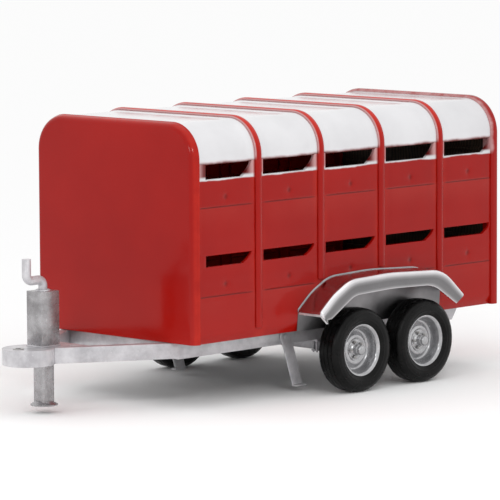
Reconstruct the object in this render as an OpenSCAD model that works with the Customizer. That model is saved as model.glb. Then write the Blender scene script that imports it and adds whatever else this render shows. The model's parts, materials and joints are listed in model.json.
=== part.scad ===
// Tandem-axle livestock trailer for a tractor drawbar: steel body on an A-frame chassis.
// +X is forward, +Y is the left side, +Z is up; the ground is z = 0 and the origin is under the middle.

/* [Body] */
// Length of the body, front wall to rear frame
body_l = 3810; // [3600:10:3900]
// Width of the body over its side sheets
body_w = 1900; // [1860:10:1940]
// Height of the body, underside to roof sheet
body_h = 1830; // [1800:10:1900]
// Height of the underside of the body above the ground
body_z = 560; // [555:1:570]
// Number of bays along the body
bays = 5; // [5]
// Outer radius of the roof shoulders
shoulder_r = 300; // [260:10:320]
// Thickness of the body sheets
sheet = 2.5; // [2:0.5:3]
// Depth of the rounded front pressing
cap_depth = 70; // [60:5:80]
// Width of the strips that cover the sheet joints
strip_w = 70; // [60:5:90]
// How far the cover strips stand proud of the sheets
strip_proud = 24; // [20:1:28]

/* [Vents] */
// Lower edge of the lower vent slots above the body underside
vent_low_z = 640; // [620:5:650]
// Height of the lower vent slots
vent_low_h = 90; // [80:5:100]
// Lower edge of the upper vent slots above the body underside
vent_high_z = 1365; // [1350:5:1370]
// Height of the upper vent slots
vent_high_h = 120; // [110:5:125]
// How far forward the slanted rear end of each slot runs at its foot
vent_slant = 110; // [60:5:130]

/* [Wheels] */
// Distance of the front axle behind the front wall
axle_d = 1800; // [1780:5:1820]
// Distance between the two axles
axle_gap = 810; // [800:5:840]
// Outer radius of the tyres
tyre_r = 363; // [355:1:370]
// Width of the tyres
tyre_w = 224; // [210:2:228]
// Distance of the wheel centre plane from the middle of the trailer
wheel_y = 1086; // [1084:1:1090]

/* [Drawbar] */
// Distance of the hitch head centre ahead of the front wall
head_x = 980; // [960:5:1000]
// Radius of the hitch head
head_r = 216; // [200:2:220]
// Radius of the hole in the tow eye
eye_r = 25.5; // [25:0.5:26]
// Distance of the jack ahead of the front wall
jack_x = 810; // [800:5:820]
// Height of the jack tube above the hitch head
jack_h = 460; // [440:10:480]
// Height of the jack foot above the ground
foot_z = 65; // [50:5:80]

/* [Ramp] */
// Thickness of the ramp frame
ramp_t = 40; // [36:2:42]
// Number of cleats on the ramp
cleats = 8; // [6:1:10]

/* [Hidden] */

// Colours
RED = [0.62, 0.07, 0.06];
WHITE = [0.93, 0.92, 0.90];
SILVER = [0.74, 0.74, 0.76];
BLACK = [0.05, 0.05, 0.05];
TIMBER = [0.45, 0.33, 0.20];

// Hinge axis of the ramp, behind the rear frame and above the body underside
hinge_back = 20;
hinge_z = body_z + 45;
knuckle_r = 17;
// The rearmost point is the hinge knuckles and the foremost is the nose of the hitch head
rear_over = hinge_back + knuckle_r;
front_x = (body_l + rear_over - head_x - head_r) / 2;
rear_x = front_x - body_l;
bay_l = body_l / bays;

// Body frame
frame_t = 30;
post_w = 130;
post_wall = 3;
rear_depth = 80;
door_half = 865;
door_bottom = 55;
door_top = 1690;
tuck_h = 80;
tuck_in = 30;
deck_bottom = body_z + 50;
deck_t = 20;
deck_half = 912;

// Chassis
rail_h = 140;
rail_w = 70;
rail_y = 700;
rail_front = 60;
rail_rear = 3600;
rail_cut = 100;
rail_wall = 6;
arm_h = 130;
arm_wall = 6;
head_h = 136;
head_z = body_z - head_h;
block_half = 100;
block_back = 640;
plate = 10;

// Jack
tube_x = 200;
tube_y = 180;
leg_w = 130;
leg_gap = 0.5;
leg_l = 740;
screw_r = 16;
screw_bottom = 196;
crank_r = 22;

// Wheels and axles
wheel_z = tyre_r;
beam = 70;
beam_half = 900;
axle_ds = [axle_d, axle_d + axle_gap];

// Round shapes
SMOOTH = 96;

// X position at a distance behind the front wall
function behind(d) = front_x - d;
// Point on a circle
function polar(r, a) = [r * cos(a), r * sin(a)];
// Unit vector from one point to another
function unit(a, b) = (b - a) / norm(b - a);
// Arc that rounds the corner b between a and c with radius r, in n steps
function corner_arc(a, b, c, r, n = 8) =
    let (u = unit(b, a), v = unit(b, c), half = acos(u * v) / 2,
         m = b + (u + v) / norm(u + v) * r / sin(half),
         p = b + u * r / tan(half), q = b + v * r / tan(half),
         a0 = atan2(p[1] - m[1], p[0] - m[0]), a1 = atan2(q[1] - m[1], q[0] - m[0]),
         turn = (a1 - a0 + 540) % 360 - 180)
    [for (i = [0 : n]) m + polar(r, a0 + turn * i / n)];
// Line through points whose inner corners are rounded with the given radii
function rounded_line(p, r) =
    concat([p[0]], [for (i = [1 : len(p) - 2]) each corner_arc(p[i - 1], p[i], p[i + 1], r[i - 1])],
           [p[len(p) - 1]]);
// Points given as [distance behind the front wall, height above the body underside]
function placed(points) = [for (p = points) [behind(p[0]), body_z + p[1]]];
function reversed(list) = [for (i = [len(list) - 1 : -1 : 0]) list[i]];

// Outline drawn as [Y, Z], extruded forward from x0
module across(x0, l) {
    translate([x0, 0, 0]) rotate([90, 0, 90]) linear_extrude(l) children();
}
// Outline drawn as [X, Z], extruded in +Y from y0
module along(y0, w) {
    translate([0, y0 + w, 0]) rotate([90, 0, 0]) linear_extrude(w) children();
}
// Box from its lowest corner and its size
module block(corner, size) {
    translate(corner) cube(size);
}
// Children on the left side and, mirrored, on the right
module both_sides() {
    for (s = [0, 1]) mirror([0, s, 0]) children();
}
// Children on the left, or mirrored to the right
module on_side(left) {
    if (left) children();
    else mirror([0, 1, 0]) children();
}

// Cross-section of the body, moved in from the outer surface
module body_section(inset = 0, fn = SMOOTH) {
    half = body_w / 2 - inset;
    r = shoulder_r - inset;
    translate([0, body_z]) {
        translate([-half, 0]) square([2 * half, body_h - shoulder_r]);
        translate([r - half, 0]) square([2 * (half - r), body_h - inset]);
        for (s = [-1, 1]) translate([s * (half - r), body_h - shoulder_r]) circle(r = r, $fn = fn);
    }
}
// Band between two insets of the body section, from a height up
module shell_band(outer, inner, from_z) {
    intersection() {
        difference() {
            body_section(outer);
            body_section(inner);
        }
        translate([-body_w, body_z + from_z]) square([2 * body_w, body_h]);
    }
}

// ---- Chassis ----

module rail_channel() {
    top = body_z;
    difference() {
        along(rail_y - rail_w, rail_w) polygon([
            [behind(rail_front), top], [behind(rail_rear), top],
            [behind(rail_rear - rail_cut), top - rail_h], [behind(rail_front), top - rail_h]
        ]);
        block([behind(rail_rear), rail_y - rail_w - 1, top - rail_h + rail_wall],
              [body_l, rail_w - rail_wall + 1, rail_h - 2 * rail_wall]);
    }
}

// Pivot of the prop stands: distance behind the front wall, depth below the body and pin size
prop_d = 1330;
prop_drop = 70;
prop_y = rail_y + 4;
prop_t = 12;
prop_pin_r = 12;

module prop_pivot(y, l, r) {
    translate([behind(prop_d), y, body_z - prop_drop]) rotate([-90, 0, 0])
        cylinder(h = l, r = r, $fn = SMOOTH);
}

module chassis_rails() {
    color(SILVER) both_sides() {
        rail_channel();
        prop_pivot(rail_y, prop_y - rail_y, 30);
        prop_pivot(rail_y, prop_y - rail_y + prop_t + 2, prop_pin_r);
        prop_pivot(prop_y + prop_t + 2, 8, 22);
    }
}

module crossmembers() {
    half = rail_y - rail_w;
    w = 60;
    color(SILVER)
        for (d = [rail_front, 700, 1280, axle_d + axle_gap / 2 - w / 2, 3300])
            difference() {
                block([behind(d + w), -half, body_z - rail_h + 10], [w, 2 * half, rail_h - 20]);
                block([behind(d + w) - 1, -half - 1, body_z - rail_h + 10 + rail_wall],
                      [w - rail_wall + 1, 2 * half + 2, rail_h - 20 - 2 * rail_wall]);
            }
}

// Plan of a drawbar arm on the left, moved in by a wall thickness
module arm_plan(inset) {
    x_front = front_x + 900;
    x_rear = behind(rail_front);
    difference() {
        polygon([
            [x_front, 120 - inset], [x_rear, rail_y - inset],
            [x_rear, rail_y - 90 + inset], [front_x + 780, block_half + inset], [x_front, block_half + inset]
        ]);
        translate([front_x + head_x, 0]) circle(r = head_r + inset, $fn = SMOOTH);
    }
}

module drawbar_arms() {
    z = body_z - arm_h - 3;
    color(SILVER) both_sides() difference() {
        translate([0, 0, z]) linear_extrude(arm_h) arm_plan(0);
        translate([0, 0, z + arm_wall]) linear_extrude(arm_h - 2 * arm_wall) arm_plan(arm_wall);
    }
}

// Inner edge of a drawbar arm: half-width between the arms at a distance ahead of the front wall
function between_arms(x) =
    block_half + (780 - x) * (rail_y - 90 - block_half) / (780 + rail_front);

module drawbar_web() {
    x0 = block_back - 110;
    x1 = block_back;
    color(SILVER) translate([front_x, 0, body_z - 3 - plate]) linear_extrude(plate) polygon([
        [x0, -between_arms(x0)], [x1, -between_arms(x1)], [x1, between_arms(x1)], [x0, between_arms(x0)]
    ]);
}

// Plan of the hitch head, moved in by a wall thickness
module head_plan(inset) {
    translate([front_x + head_x, 0]) circle(r = head_r - inset, $fn = SMOOTH);
    translate([front_x + block_back + inset, inset - block_half])
        square([head_x - block_back, 2 * (block_half - inset)]);
}

eye_x = head_x + 110;
bush_r = 38;

module eye_bore(z, h, r) {
    translate([front_x + eye_x, 0, z]) cylinder(h = h, r = r, $fn = SMOOTH);
}
module jack_square(z, h, w) {
    block([front_x + jack_x - w / 2, -w / 2, z], [w, w, h]);
}

module hitch_head() {
    color(SILVER) difference() {
        union() {
            difference() {
                translate([0, 0, head_z]) linear_extrude(head_h) head_plan(0);
                translate([0, 0, head_z + plate]) linear_extrude(head_h - 2 * plate) head_plan(plate);
            }
            eye_bore(head_z, head_h, bush_r + 16);
            jack_square(head_z, head_h, leg_w + 28);
        }
        eye_bore(head_z - 1, head_h + 2, bush_r);
        jack_square(head_z - 1, head_h + 2, leg_w + 2 * leg_gap);
    }
}

module tow_eye_bush() {
    lip = 6;
    color(SILVER) difference() {
        union() {
            eye_bore(head_z - lip, head_h + 2 * lip, bush_r);
            eye_bore(head_z - lip, lip, bush_r + 8);
            eye_bore(head_z + head_h, lip, bush_r + 8);
        }
        eye_bore(head_z - lip - 1, head_h + 2 * lip + 2, eye_r);
    }
}

// ---- Jack ----

tube_wall = 8;
bearing_r = 24;

module jack_tube() {
    top = body_z + jack_h;
    color(SILVER) difference() {
        block([front_x + jack_x - tube_x / 2, -tube_y / 2, body_z], [tube_x, tube_y, jack_h]);
        block([front_x + jack_x - tube_x / 2 + tube_wall, tube_wall - tube_y / 2, body_z + 2 * tube_wall],
              [tube_x - 2 * tube_wall, tube_y - 2 * tube_wall, jack_h - 3 * tube_wall]);
        jack_square(body_z - 1, 2 * tube_wall + 2, leg_w + 2 * leg_gap);
        translate([front_x + jack_x, 0, top - tube_wall - 1])
            cylinder(h = tube_wall + 2, r = crank_r + 0.1, $fn = SMOOTH);
    }
}

module jack_leg() {
    wall = 6;
    foot_t = 14;
    foot_r = 116;
    nut_z = foot_z + leg_l - 30;
    color(SILVER) {
        difference() {
            jack_square(foot_z + foot_t, leg_l - foot_t, leg_w);
            jack_square(foot_z + foot_t + wall, leg_l, leg_w - 2 * wall);
        }
        difference() {
            jack_square(nut_z, 30, leg_w - 2 * wall);
            translate([front_x + jack_x, 0, nut_z - 1]) cylinder(h = 32, r = screw_r + 0.1, $fn = SMOOTH);
        }
        translate([front_x + jack_x, 0, foot_z]) cylinder(h = foot_t, r = foot_r, $fn = SMOOTH);
        translate([front_x + jack_x, 0, foot_z + foot_t])
            cylinder(h = 26, r1 = foot_r - 8, r2 = leg_w / 2, $fn = SMOOTH);
    }
}

// Screw that lifts the leg, hung from the top of the tube
module jack_screw() {
    top = body_z + jack_h - tube_wall - 2;
    color(SILVER) translate([front_x + jack_x, 0, 0]) {
        translate([0, 0, foot_z + screw_bottom])
            cylinder(h = top - foot_z - screw_bottom, r = screw_r, $fn = SMOOTH);
        translate([0, 0, top - 12]) cylinder(h = 12, r = bearing_r + 12, $fn = SMOOTH);
    }
}

// Bar bent like an S: up from the tube, out and up again to the grip
crank_out = 180;
crank_low = 92;
crank_bar = 38;
crank_high = 275;
bend_r = 52;

module bend(at, from_angle) {
    translate(at) rotate([90, 0, 0]) rotate([0, 0, from_angle]) rotate_extrude(angle = 90, $fn = SMOOTH)
        translate([bend_r, 0]) circle(r = crank_bar, $fn = 48);
}

module jack_crank() {
    top = body_z + jack_h;
    color(SILVER) translate([front_x + jack_x, 0, top]) {
        translate([0, 0, -tube_wall - 2]) cylinder(h = tube_wall + 2, r = crank_r, $fn = SMOOTH);
        cylinder(h = crank_low - bend_r, r = crank_bar, $fn = SMOOTH);
        bend([bend_r, 0, crank_low - bend_r], 90);
        translate([bend_r, 0, crank_low]) rotate([0, 90, 0])
            cylinder(h = crank_out - 2 * bend_r, r = crank_bar, $fn = SMOOTH);
        bend([crank_out - bend_r, 0, crank_low + bend_r], -90);
        translate([crank_out, 0, crank_low + bend_r])
            cylinder(h = crank_high - crank_low - bend_r, r = crank_bar, $fn = SMOOTH);
    }
}

// ---- Body ----

module floor_bearers() {
    w = 50;
    wall = 4;
    color(SILVER)
        for (d = [100, bay_l, 2 * bay_l, 3 * bay_l, 4 * bay_l, body_l - rear_depth - w - 20])
            difference() {
                block([behind(d + w), -deck_half, body_z], [w, 2 * deck_half, deck_bottom - body_z]);
                block([behind(d + w) - 1, -deck_half - 1, body_z + wall],
                      [w - wall + 1, 2 * deck_half + 2, deck_bottom - body_z - 2 * wall]);
            }
}

module floor_deck() {
    color(TIMBER) block([behind(body_l - rear_depth), -deck_half, deck_bottom],
                        [body_l - rear_depth - cap_depth, 2 * deck_half, deck_t]);
}

// Domed outline of the front pressing, moved in by a wall thickness
module cap_form(inset) {
    steps = [[0, 55], [12, 22], [35, 6], [cap_depth, 0]];
    hull() for (s = steps)
        across(behind(s[0]) - inset * (1 - s[0] / cap_depth) - 0.1, 0.1) body_section(s[1] + inset, 32);
}

module front_cap() {
    color(RED) difference() {
        cap_form(0);
        cap_form(sheet);
        block([behind(cap_depth) - 10, -body_w, body_z - 1], [10, 2 * body_w, body_h + 2]);
        block([behind(cap_depth) - 1, sheet * 3 - body_w / 2, body_z - 1],
              [cap_depth - 6, body_w - sheet * 6, 60]);
    }
}

sheet_x0 = behind(body_l - rear_depth);
sheet_l = body_l - rear_depth - cap_depth;

// Distances behind the front wall of the joints between bays
joint_ds = [for (i = [1 : bays - 1]) i * bay_l];

// Ears of a sheet that rise beside the posts and give each slot above it a slanted rear end
module vent_ears(z, h) {
    along(body_w / 2 - sheet, sheet) for (d = concat(joint_ds, [body_l - rear_depth + post_w / 2])) {
        back = d - post_w / 2;
        polygon(placed([
            [back - vent_slant, z - 1], [back - vent_slant, z], [back, z + h],
            [min(d, body_l - rear_depth), z + h], [min(d, body_l - rear_depth), z - 1]
        ]));
    }
}

module side_lower() {
    half = body_w / 2;
    color(RED) {
        across(sheet_x0, sheet_l) translate([0, body_z]) polygon([
            [half - tuck_in, 0], [half, tuck_h], [half, vent_low_z],
            [half - sheet, vent_low_z], [half - sheet, tuck_h], [half - tuck_in - sheet, 0]
        ]);
        vent_ears(vent_low_z, vent_low_h);
    }
}

module side_middle() {
    low = vent_low_z + vent_low_h;
    color(RED) {
        block([sheet_x0, body_w / 2 - sheet, body_z + low], [sheet_l, sheet, vent_high_z - low]);
        vent_ears(vent_high_z, vent_high_h);
    }
}

module roof_top() {
    half = body_w / 2 - shoulder_r;
    color(WHITE) block([sheet_x0, -half, body_z + body_h - sheet], [sheet_l, 2 * half, sheet]);
}

module roof_shoulder() {
    color(WHITE) intersection() {
        across(sheet_x0, sheet_l) shell_band(0, sheet, vent_high_z + vent_high_h);
        block([sheet_x0, body_w / 2 - shoulder_r, 0], [sheet_l, body_w, body_z + body_h + 1]);
    }
}

module side_posts() {
    z0 = body_z + tuck_h;
    y1 = body_w / 2 - sheet;
    color(RED) both_sides() for (d = joint_ds)
        difference() {
            block([behind(d) - post_w / 2, y1 - frame_t, z0],
                  [post_w, frame_t, body_z + body_h - shoulder_r - z0]);
            block([behind(d) - post_w / 2 + post_wall, y1 - frame_t - 1, z0 - 1],
                  [post_w - 2 * post_wall, frame_t - post_wall + 1, body_h]);
        }
}

module roof_bows() {
    z0 = body_h - shoulder_r;
    color(RED) for (d = joint_ds) {
        x0 = behind(d) - post_w / 2;
        across(x0, post_w) shell_band(sheet, sheet + post_wall, z0);
        for (x = [x0, x0 + post_w - post_wall])
            across(x, post_wall) shell_band(sheet + post_wall, sheet + frame_t, z0);
    }
}

// Hollow rib round the body, l long and open towards the sheets
module hollow_rib(x0, l) {
    across(x0, l) shell_band(-strip_proud, post_wall - strip_proud, tuck_h);
    for (x = [x0, x0 + l - post_wall]) across(x, post_wall) shell_band(post_wall - strip_proud, 0, tuck_h);
}

// Cover strips stop at the mudguards
module cover_strips() {
    color(RED) difference() {
        for (d = joint_ds) hollow_rib(behind(d) - strip_w / 2, strip_w);
        both_sides() along(body_w / 2 - 1, strip_proud + 2) guard_side();
    }
}

// ---- Rear frame, ramp and latches ----

latch_y = 907;
latch_z = body_z + 1250;
latch_pin_r = 8;
latch_t = 12;
latch_gap = 4;

module latch_pivot(x, l, r) {
    translate([x, latch_y, latch_z]) rotate([0, -90, 0]) cylinder(h = l, r = r, $fn = SMOOTH);
}

// Hinges along the foot of the ramp: positions across, leaf length and pin size
hinge_ys = [-620, 0, 620];
leaf_l = 60;
outer_leaf_l = 40;
leaf_gap = 1;
pin_r = 10;

module hinge_barrel(y, l, r) {
    translate([rear_x - hinge_back, y, hinge_z]) rotate([-90, 0, 0]) cylinder(h = l, r = r, $fn = SMOOTH);
}
// Barrel with a flat leaf that reaches the face it is welded to
module hinge_leaf(y, l, z0, z1, bore) {
    difference() {
        union() {
            hinge_barrel(y, l, knuckle_r);
            block([rear_x - 8, y, z0], [8, l, z1 - z0]);
            block([rear_x - hinge_back, y, min(z1, hinge_z) - (z1 > hinge_z ? 0 : knuckle_r)],
                  [hinge_back, l, knuckle_r]);
        }
        hinge_barrel(y - 1, l + 2, bore);
    }
}

module rear_frame() {
    tube = rear_depth;
    wall = 4;
    half = body_w / 2;
    post_h = body_h - shoulder_r;
    color(RED) {
        hollow_rib(rear_x, rear_depth);
        difference() {
            across(rear_x, wall) body_section(0);
            block([rear_x - 1, -door_half, body_z + door_bottom],
                  [wall + 2, 2 * door_half, door_top - door_bottom]);
        }
        both_sides() difference() {
            block([rear_x + wall, door_half, body_z], [tube - wall, half - door_half, post_h]);
            block([rear_x + wall + wall, door_half + wall, body_z - 1],
                  [tube - 3 * wall, half - door_half - 2 * wall, post_h + 2]);
        }
        difference() {
            block([rear_x + wall, shoulder_r - half, body_z + door_top],
                  [tube - wall, 2 * (half - shoulder_r), tube]);
            block([rear_x + 2 * wall, shoulder_r - half - 1, body_z + door_top + wall],
                  [tube - 3 * wall, body_w, tube - 2 * wall]);
        }
        difference() {
            block([rear_x + wall, -door_half, body_z],
                  [tube - wall - 20, 2 * door_half, deck_bottom - body_z]);
            block([rear_x + 2 * wall, -door_half - 1, body_z + wall],
                  [tube - 20 - 3 * wall, 2 * door_half + 2, deck_bottom - body_z - 2 * wall]);
        }
        for (y = hinge_ys) for (s = [-1, 1])
            hinge_leaf(y + s * (leaf_l / 2 + leaf_gap + outer_leaf_l / 2) - outer_leaf_l / 2, outer_leaf_l,
                       body_z + 5, hinge_z, pin_r);
        both_sides() {
            latch_pivot(rear_x, latch_gap, 20);
            latch_pivot(rear_x, latch_gap + latch_t + 1, latch_pin_r);
            latch_pivot(rear_x - latch_gap - latch_t - 1, 7, 16);
        }
    }
}

module ramp_hinge_pins() {
    half = leaf_l / 2 + leaf_gap + outer_leaf_l;
    color(SILVER) for (y = hinge_ys) {
        hinge_barrel(y - half - 8, 2 * half + 16, pin_r);
        for (end = [y - half - 8, y + half + 2]) hinge_barrel(end, 6, pin_r + 5);
    }
}

ramp_gap = 5;
ramp_half = door_half - ramp_gap;
ramp_z0 = body_z + 62;
ramp_z1 = body_z + door_top - ramp_gap;
skin_t = 2;
board_t = 12;

// The ramp's layers from the outside in: skin, frame, board, cleats
module ramp_frame() {
    bar = ramp_t;
    wall = 3;
    x0 = rear_x + skin_t;
    gap = (ramp_z1 - ramp_z0 - bar) / 4;
    color(RED) {
        for (i = [0 : 4]) difference() {
            block([x0, -ramp_half, ramp_z0 + i * gap], [bar, 2 * ramp_half, bar]);
            block([x0 + wall, -ramp_half - 1, ramp_z0 + i * gap + wall],
                  [bar - 2 * wall, 2 * ramp_half + 2, bar - 2 * wall]);
        }
        for (y = [-ramp_half, -bar / 2, ramp_half - bar]) for (i = [0 : 3]) difference() {
            block([x0, y, ramp_z0 + i * gap + bar], [bar, bar, gap - bar]);
            block([x0 + wall, y + wall, ramp_z0 + i * gap + bar - 1],
                  [bar - 2 * wall, bar - 2 * wall, gap - bar + 2]);
        }
    }
}

module latch_keeper() {
    lever_half = 16;
    z = latch_z - lever_half - 1 - 8;
    block([rear_x - latch_gap - latch_t - 7, 785, z], [latch_gap + latch_t + 7, 40, 8]);
    block([rear_x - latch_gap - latch_t - 7, 785, z], [6, 40, 26]);
}

module ramp_skin() {
    color(RED) {
        block([rear_x, -ramp_half, ramp_z0], [skin_t, 2 * ramp_half, ramp_z1 - ramp_z0]);
        for (y = hinge_ys)
            hinge_leaf(y - leaf_l / 2, leaf_l, hinge_z, hinge_z + 90, pin_r + 0.05);
        both_sides() latch_keeper();
    }
}

module ramp_deck() {
    color(TIMBER) block([rear_x + skin_t + ramp_t, -ramp_half, ramp_z0],
                        [board_t, 2 * ramp_half, ramp_z1 - ramp_z0]);
}

module ramp_cleats() {
    w = 30;
    step = (ramp_z1 - ramp_z0 - 2 * w) / cleats;
    color(TIMBER) for (i = [0 : cleats - 1])
        block([rear_x + skin_t + ramp_t + board_t, -ramp_half + 40, ramp_z0 + w + (i + 0.5) * step],
              [18, 2 * (ramp_half - 40), w]);
}

module latch() {
    lever_half = 16;
    x = rear_x - latch_gap - latch_t;
    color(SILVER) difference() {
        union() {
            latch_pivot(rear_x - latch_gap, latch_t, 24);
            block([x, 770, latch_z - lever_half], [latch_t, latch_y - 770, 2 * lever_half]);
            translate([rear_x - latch_gap, 770, latch_z]) rotate([0, -90, 0])
                cylinder(h = latch_t, r = lever_half, $fn = SMOOTH);
        }
        latch_pivot(rear_x, 3 * latch_t, latch_pin_r + 0.05);
    }
}

// ---- Mudguards and arch plates ----

plate_y = body_w / 2;
plate_t = 3;
guard_y0 = plate_y + plate_t;
guard_y1 = 1238;
guard_t = 3;
guard_top = rounded_line([[1240, 186], [1395, 316], [1610, 432], [2120, 448], [2790, 415], [3054, 183]],
                         [600, 420, 2500, 420]);
skirt_low = rounded_line([[1300, 119], [1352, 123], [1640, 296], [2120, 312], [2640, 296], [2950, 106]],
                         [40, 260, 2500, 380]);
guard_under = rounded_line([[1243, 182], [1396.7, 313.5], [1610.8, 429], [2120, 444.8], [2788, 411.6],
                            [3052, 180]], [597, 417, 2497, 417]);

// Side view of all that a mudguard covers
module guard_side() {
    polygon(concat(placed(guard_top), placed([[3054, 0], [1225, 0]])));
}

module mudguard() {
    color(SILVER) {
        along(guard_y0, guard_y1 - guard_y0)
            polygon(concat(placed(guard_top), reversed(placed(guard_under))));
        along(guard_y1 - guard_t, guard_t) polygon(concat(placed(guard_under), reversed(placed(skirt_low))));
        along(guard_y0, guard_y1 - guard_y0)
            polygon(placed([[1240, 186], [1300, 119], [1304, 121], [1244, 188]]));
    }
}

module arch_plates() {
    color(SILVER) both_sides() along(plate_y, plate_t)
        polygon(concat(placed(guard_under), placed([[3040, 0], [1225, 0]])));
}

// ---- Axles ----

// Steps of a spindle: radius, start and length outwards from the wheel centre plane
spindle_in = wheel_y - beam_half;
spindle_step = [[24, -spindle_in, spindle_in - 90], [18, -90, 145]];

// Moves children to a wheel's centre, with +Z pointing outwards
module at_wheel(d, left) {
    translate([behind(d), (left ? 1 : -1) * wheel_y, wheel_z]) rotate([left ? -90 : 90, 0, 0]) children();
}

module axle(d) {
    color(SILVER) {
        block([behind(d) - beam / 2, -beam_half, wheel_z - beam / 2], [beam, 2 * beam_half, beam]);
        for (left = [true, false]) at_wheel(d, left) {
            for (s = spindle_step) translate([0, 0, s[1]]) cylinder(h = s[2], r = s[0], $fn = SMOOTH);
            translate([0, 0, 45]) cylinder(h = 12, r = 27, $fn = 6);
        }
    }
}

module axle_clamps() {
    w = 110;
    saddle_z = wheel_z + beam / 2;
    saddle_h = body_z - rail_h - saddle_z;
    pad_z = wheel_z - beam / 2 - 12;
    color(SILVER) for (d = axle_ds) both_sides() {
        block([behind(d) - w / 2, rail_y - rail_w, saddle_z], [w, rail_w, saddle_h]);
        block([behind(d) - w / 2, rail_y - rail_w, pad_z], [w, rail_w, 12]);
        for (x = [-1, 1]) for (y = [15, rail_w - 15])
            translate([behind(d) + x * (beam / 2 + 9), rail_y - rail_w + y, pad_z - 12])
                cylinder(h = saddle_z + 6 - pad_z + 12, r = 8, $fn = 32);
    }
}

// Bearing seats in the hub: centre distance outwards, width, outer and inner radius
seats = [[-118, 26, 38, 24], [18, 24, 34, 18]];
run = 0.05;

module wheel_bearings() {
    color(SILVER) for (d = axle_ds) for (left = [true, false]) at_wheel(d, left)
        for (s = seats) translate([0, 0, s[0]]) difference() {
            cylinder(h = s[1], r = s[2], $fn = SMOOTH);
            translate([0, 0, -1]) cylinder(h = s[1] + 2, r = s[3], $fn = SMOOTH);
        }
}

// ---- Wheels ----

bead_r = 197;
flange_r = 221;
flange_z = 80;
studs = 5;
stud_pcd = 140;

// Half of the tyre's outer profile as [radius, distance from the centre plane], bead to crown
function tyre_half(w) = [
    [bead_r, flange_z - 5], [flange_r + 2, flange_z - 2], [tyre_r - 118, w * 0.955], [tyre_r - 78, w],
    [tyre_r - 45, w * 0.985], [tyre_r - 22, w * 0.93], [tyre_r - 8, w * 0.84], [tyre_r - 2, w * 0.68],
    [tyre_r, w * 0.4]
];

module tyre(d, left) {
    outer = tyre_half(tyre_w / 2);
    side = 12;
    inner = [[bead_r - 1, flange_z - 25], [flange_r, flange_z - 19], [tyre_r - 78, tyre_w / 2 - side],
             [tyre_r - 30, tyre_w / 2 - 22], [tyre_r - 18, tyre_w / 4]];
    mirrored = function(p) [for (i = [len(p) - 1 : -1 : 0]) [p[i][0], -p[i][1]]];
    color(BLACK) at_wheel(d, left) rotate_extrude($fn = SMOOTH) difference() {
        polygon(concat(outer, mirrored(outer)));
        polygon(concat(inner, mirrored(inner)));
    }
}

module rim(d, left) {
    t = 6;
    barrel_r = bead_r - 1;
    color(SILVER) at_wheel(d, left) difference() {
        rotate_extrude($fn = SMOOTH) {
            translate([barrel_r - t, -flange_z - t]) square([t, 2 * (flange_z + t)]);
            for (z = [-flange_z - t, flange_z])
                translate([barrel_r - t, z]) square([flange_r - barrel_r + t, t]);
            polygon([[46.5, 10], [100, 10], [140, -30], [barrel_r - t, -30], [barrel_r - t, -22],
                     [144, -22], [104, 18], [46.5, 18]]);
        }
        for (i = [0 : studs - 1]) rotate(i * 360 / studs) translate([stud_pcd / 2, 0, 5])
            cylinder(h = 20, r = 8, $fn = 48);
    }
}

module hub(d, left) {
    color(SILVER) at_wheel(d, left) difference() {
        union() {
            translate([0, 0, -120]) cylinder(h = 172, r = 46, $fn = SMOOTH);
            translate([0, 0, -2]) cylinder(h = 12, r = 88, $fn = SMOOTH);
        }
        translate([0, 0, -121]) cylinder(h = 174, r = 30, $fn = SMOOTH);
        translate([0, 0, -121]) cylinder(h = 29.5, r = 38 + run, $fn = SMOOTH);
        translate([0, 0, 17.5]) cylinder(h = 35, r = 34 + run, $fn = SMOOTH);
        for (i = [0 : studs - 1]) rotate(i * 360 / studs) translate([stud_pcd / 2, 0, -3])
            cylinder(h = 14, r = 7, $fn = 48);
    }
}

module hub_cap(d, left) {
    color(SILVER) at_wheel(d, left) translate([0, 0, 52]) rotate_extrude($fn = SMOOTH)
        polygon([[46, 0], [46, 10], [42, 12], [41, 30], [36, 40], [0, 44], [0, 41], [34, 37],
                 [38, 29], [38, 0]]);
}

module nuts(d, left) {
    color(SILVER) at_wheel(d, left) for (i = [0 : studs - 1]) rotate(i * 360 / studs)
        translate([stud_pcd / 2, 0, 0]) {
            translate([0, 0, -6]) cylinder(h = 46, r = 7, $fn = 48);
            translate([0, 0, 18]) cylinder(h = 14, r = 13, $fn = 6);
        }
}

// ---- Prop stands ----

module prop() {
    w = 62;
    path = [[prop_d, -prop_drop], [prop_d + 52, -200], [prop_d + 150, body_z * -1 + 62]];
    color(SILVER) difference() {
        union() {
            prop_pivot(prop_y, prop_t, w);
            along(prop_y, prop_t) polygon(placed([
                [path[0][0] - w, path[0][1]], [path[1][0] - w, path[1][1]], [path[2][0] - w, path[2][1]],
                [path[2][0] + w, path[2][1]], [path[1][0] + w, path[1][1]], [path[0][0] + w, path[0][1]]
            ]));
            block([behind(path[2][0] + w), prop_y, 50], [2 * w, prop_t + 44, 12]);
        }
        prop_pivot(prop_y - 1, prop_t + 2, prop_pin_r + 0.05);
    }
}

chassis_rails();
crossmembers();
drawbar_arms();
drawbar_web();
hitch_head();
tow_eye_bush();
jack_tube();
jack_leg();
jack_screw();
jack_crank();
floor_bearers();
floor_deck();
front_cap();
on_side(true) side_lower();  // side_lower_left
on_side(false) side_lower();  // side_lower_right
on_side(true) side_middle();  // side_middle_left
on_side(false) side_middle();  // side_middle_right
roof_top();
on_side(true) roof_shoulder();  // roof_shoulder_left
on_side(false) roof_shoulder();  // roof_shoulder_right
side_posts();
roof_bows();
cover_strips();
rear_frame();
ramp_hinge_pins();
ramp_frame();
ramp_skin();
ramp_deck();
ramp_cleats();
on_side(true) latch();  // latch_left
on_side(false) latch();  // latch_right
on_side(true) mudguard();  // mudguard_left
on_side(false) mudguard();  // mudguard_right
arch_plates();
axle(axle_ds[0]);  // axle_front
axle(axle_ds[1]);  // axle_rear
axle_clamps();
wheel_bearings();
on_side(true) prop();  // prop_left
on_side(false) prop();  // prop_right
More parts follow.
